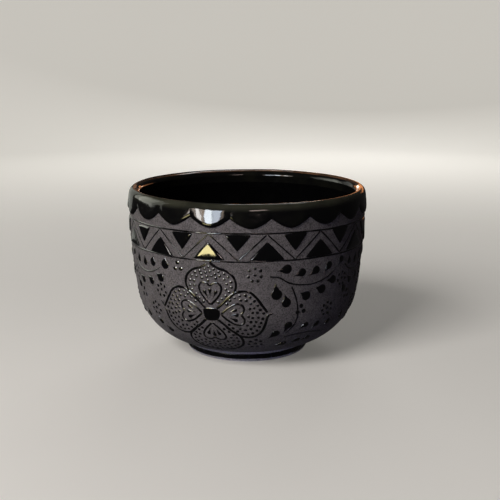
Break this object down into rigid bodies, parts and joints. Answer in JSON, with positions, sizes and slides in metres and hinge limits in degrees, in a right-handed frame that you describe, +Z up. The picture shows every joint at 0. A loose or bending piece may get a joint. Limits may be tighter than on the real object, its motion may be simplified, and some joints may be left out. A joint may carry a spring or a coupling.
{
  "type": "barro negro bowl",
  "caption": "Footed barro negro bowl of matte black clay, glazed glossy black inside and over the lip, with raised black glaze ornament of scallops, zigzags, flowers and vines",
  "frame": {"origin": "centre of the bottom of the bounding box, which is the centre of the foot ring on the ground", "axes": "+Z up along the axis of the bowl; -Y is the side that faces the viewer, with a flower a little to the left; +X to the right"},
  "size_m": [0.1308, 0.1308, 0.0911],
  "materials": {
    "matte_clay": "unglazed, matte, fine grain",
    "foot_clay": "unglazed, matte, slightly worn",
    "inner_glaze": "glossy black glaze",
    "rim_glaze": "glossy black glaze, olive-brown where thin",
    "foot_glaze": "satin black glaze",
    "trailed_glaze": "glossy black raised glaze"
  },
  "bodies": {
    "root": {"clay_body": "matte_clay", "foot_ring": "foot_clay", "foot_glaze_band": "foot_glaze", "interior_glaze": "inner_glaze", "rim_glaze": "rim_glaze", "upper_band_line": "trailed_glaze", "lower_band_line": "trailed_glaze", "zigzag_line": "trailed_glaze", "upper_triangles": "trailed_glaze", "lower_triangles": "trailed_glaze", "flower_centres": "trailed_glaze", "top_petal_outlines": "trailed_glaze", "right_petal_outlines": "trailed_glaze", "bottom_petal_outlines": "trailed_glaze", "left_petal_outlines": "trailed_glaze", "top_hearts": "trailed_glaze", "right_hearts": "trailed_glaze", "bottom_hearts": "trailed_glaze", "left_hearts": "trailed_glaze", "top_heart_seeds": "trailed_glaze", "right_heart_seeds": "trailed_glaze", "bottom_heart_seeds": "trailed_glaze", "left_heart_seeds": "trailed_glaze", "top_petal_dots": "trailed_glaze", "right_petal_dots": "trailed_glaze", "bottom_petal_dots": "trailed_glaze", "left_petal_dots": "trailed_glaze", "wave_stems": "trailed_glaze", "drop_stems": "trailed_glaze", "low_stems": "trailed_glaze", "crest_leaves": "trailed_glaze", "hanging_leaves": "trailed_glaze", "side_leaves": "trailed_glaze", "low_leaves": "trailed_glaze", "base_leaves": "trailed_glaze", "vine_tip_drops": "trailed_glaze", "dot_rosettes": "trailed_glaze", "dot_trios": "trailed_glaze"}
  },
  "joints": []
}
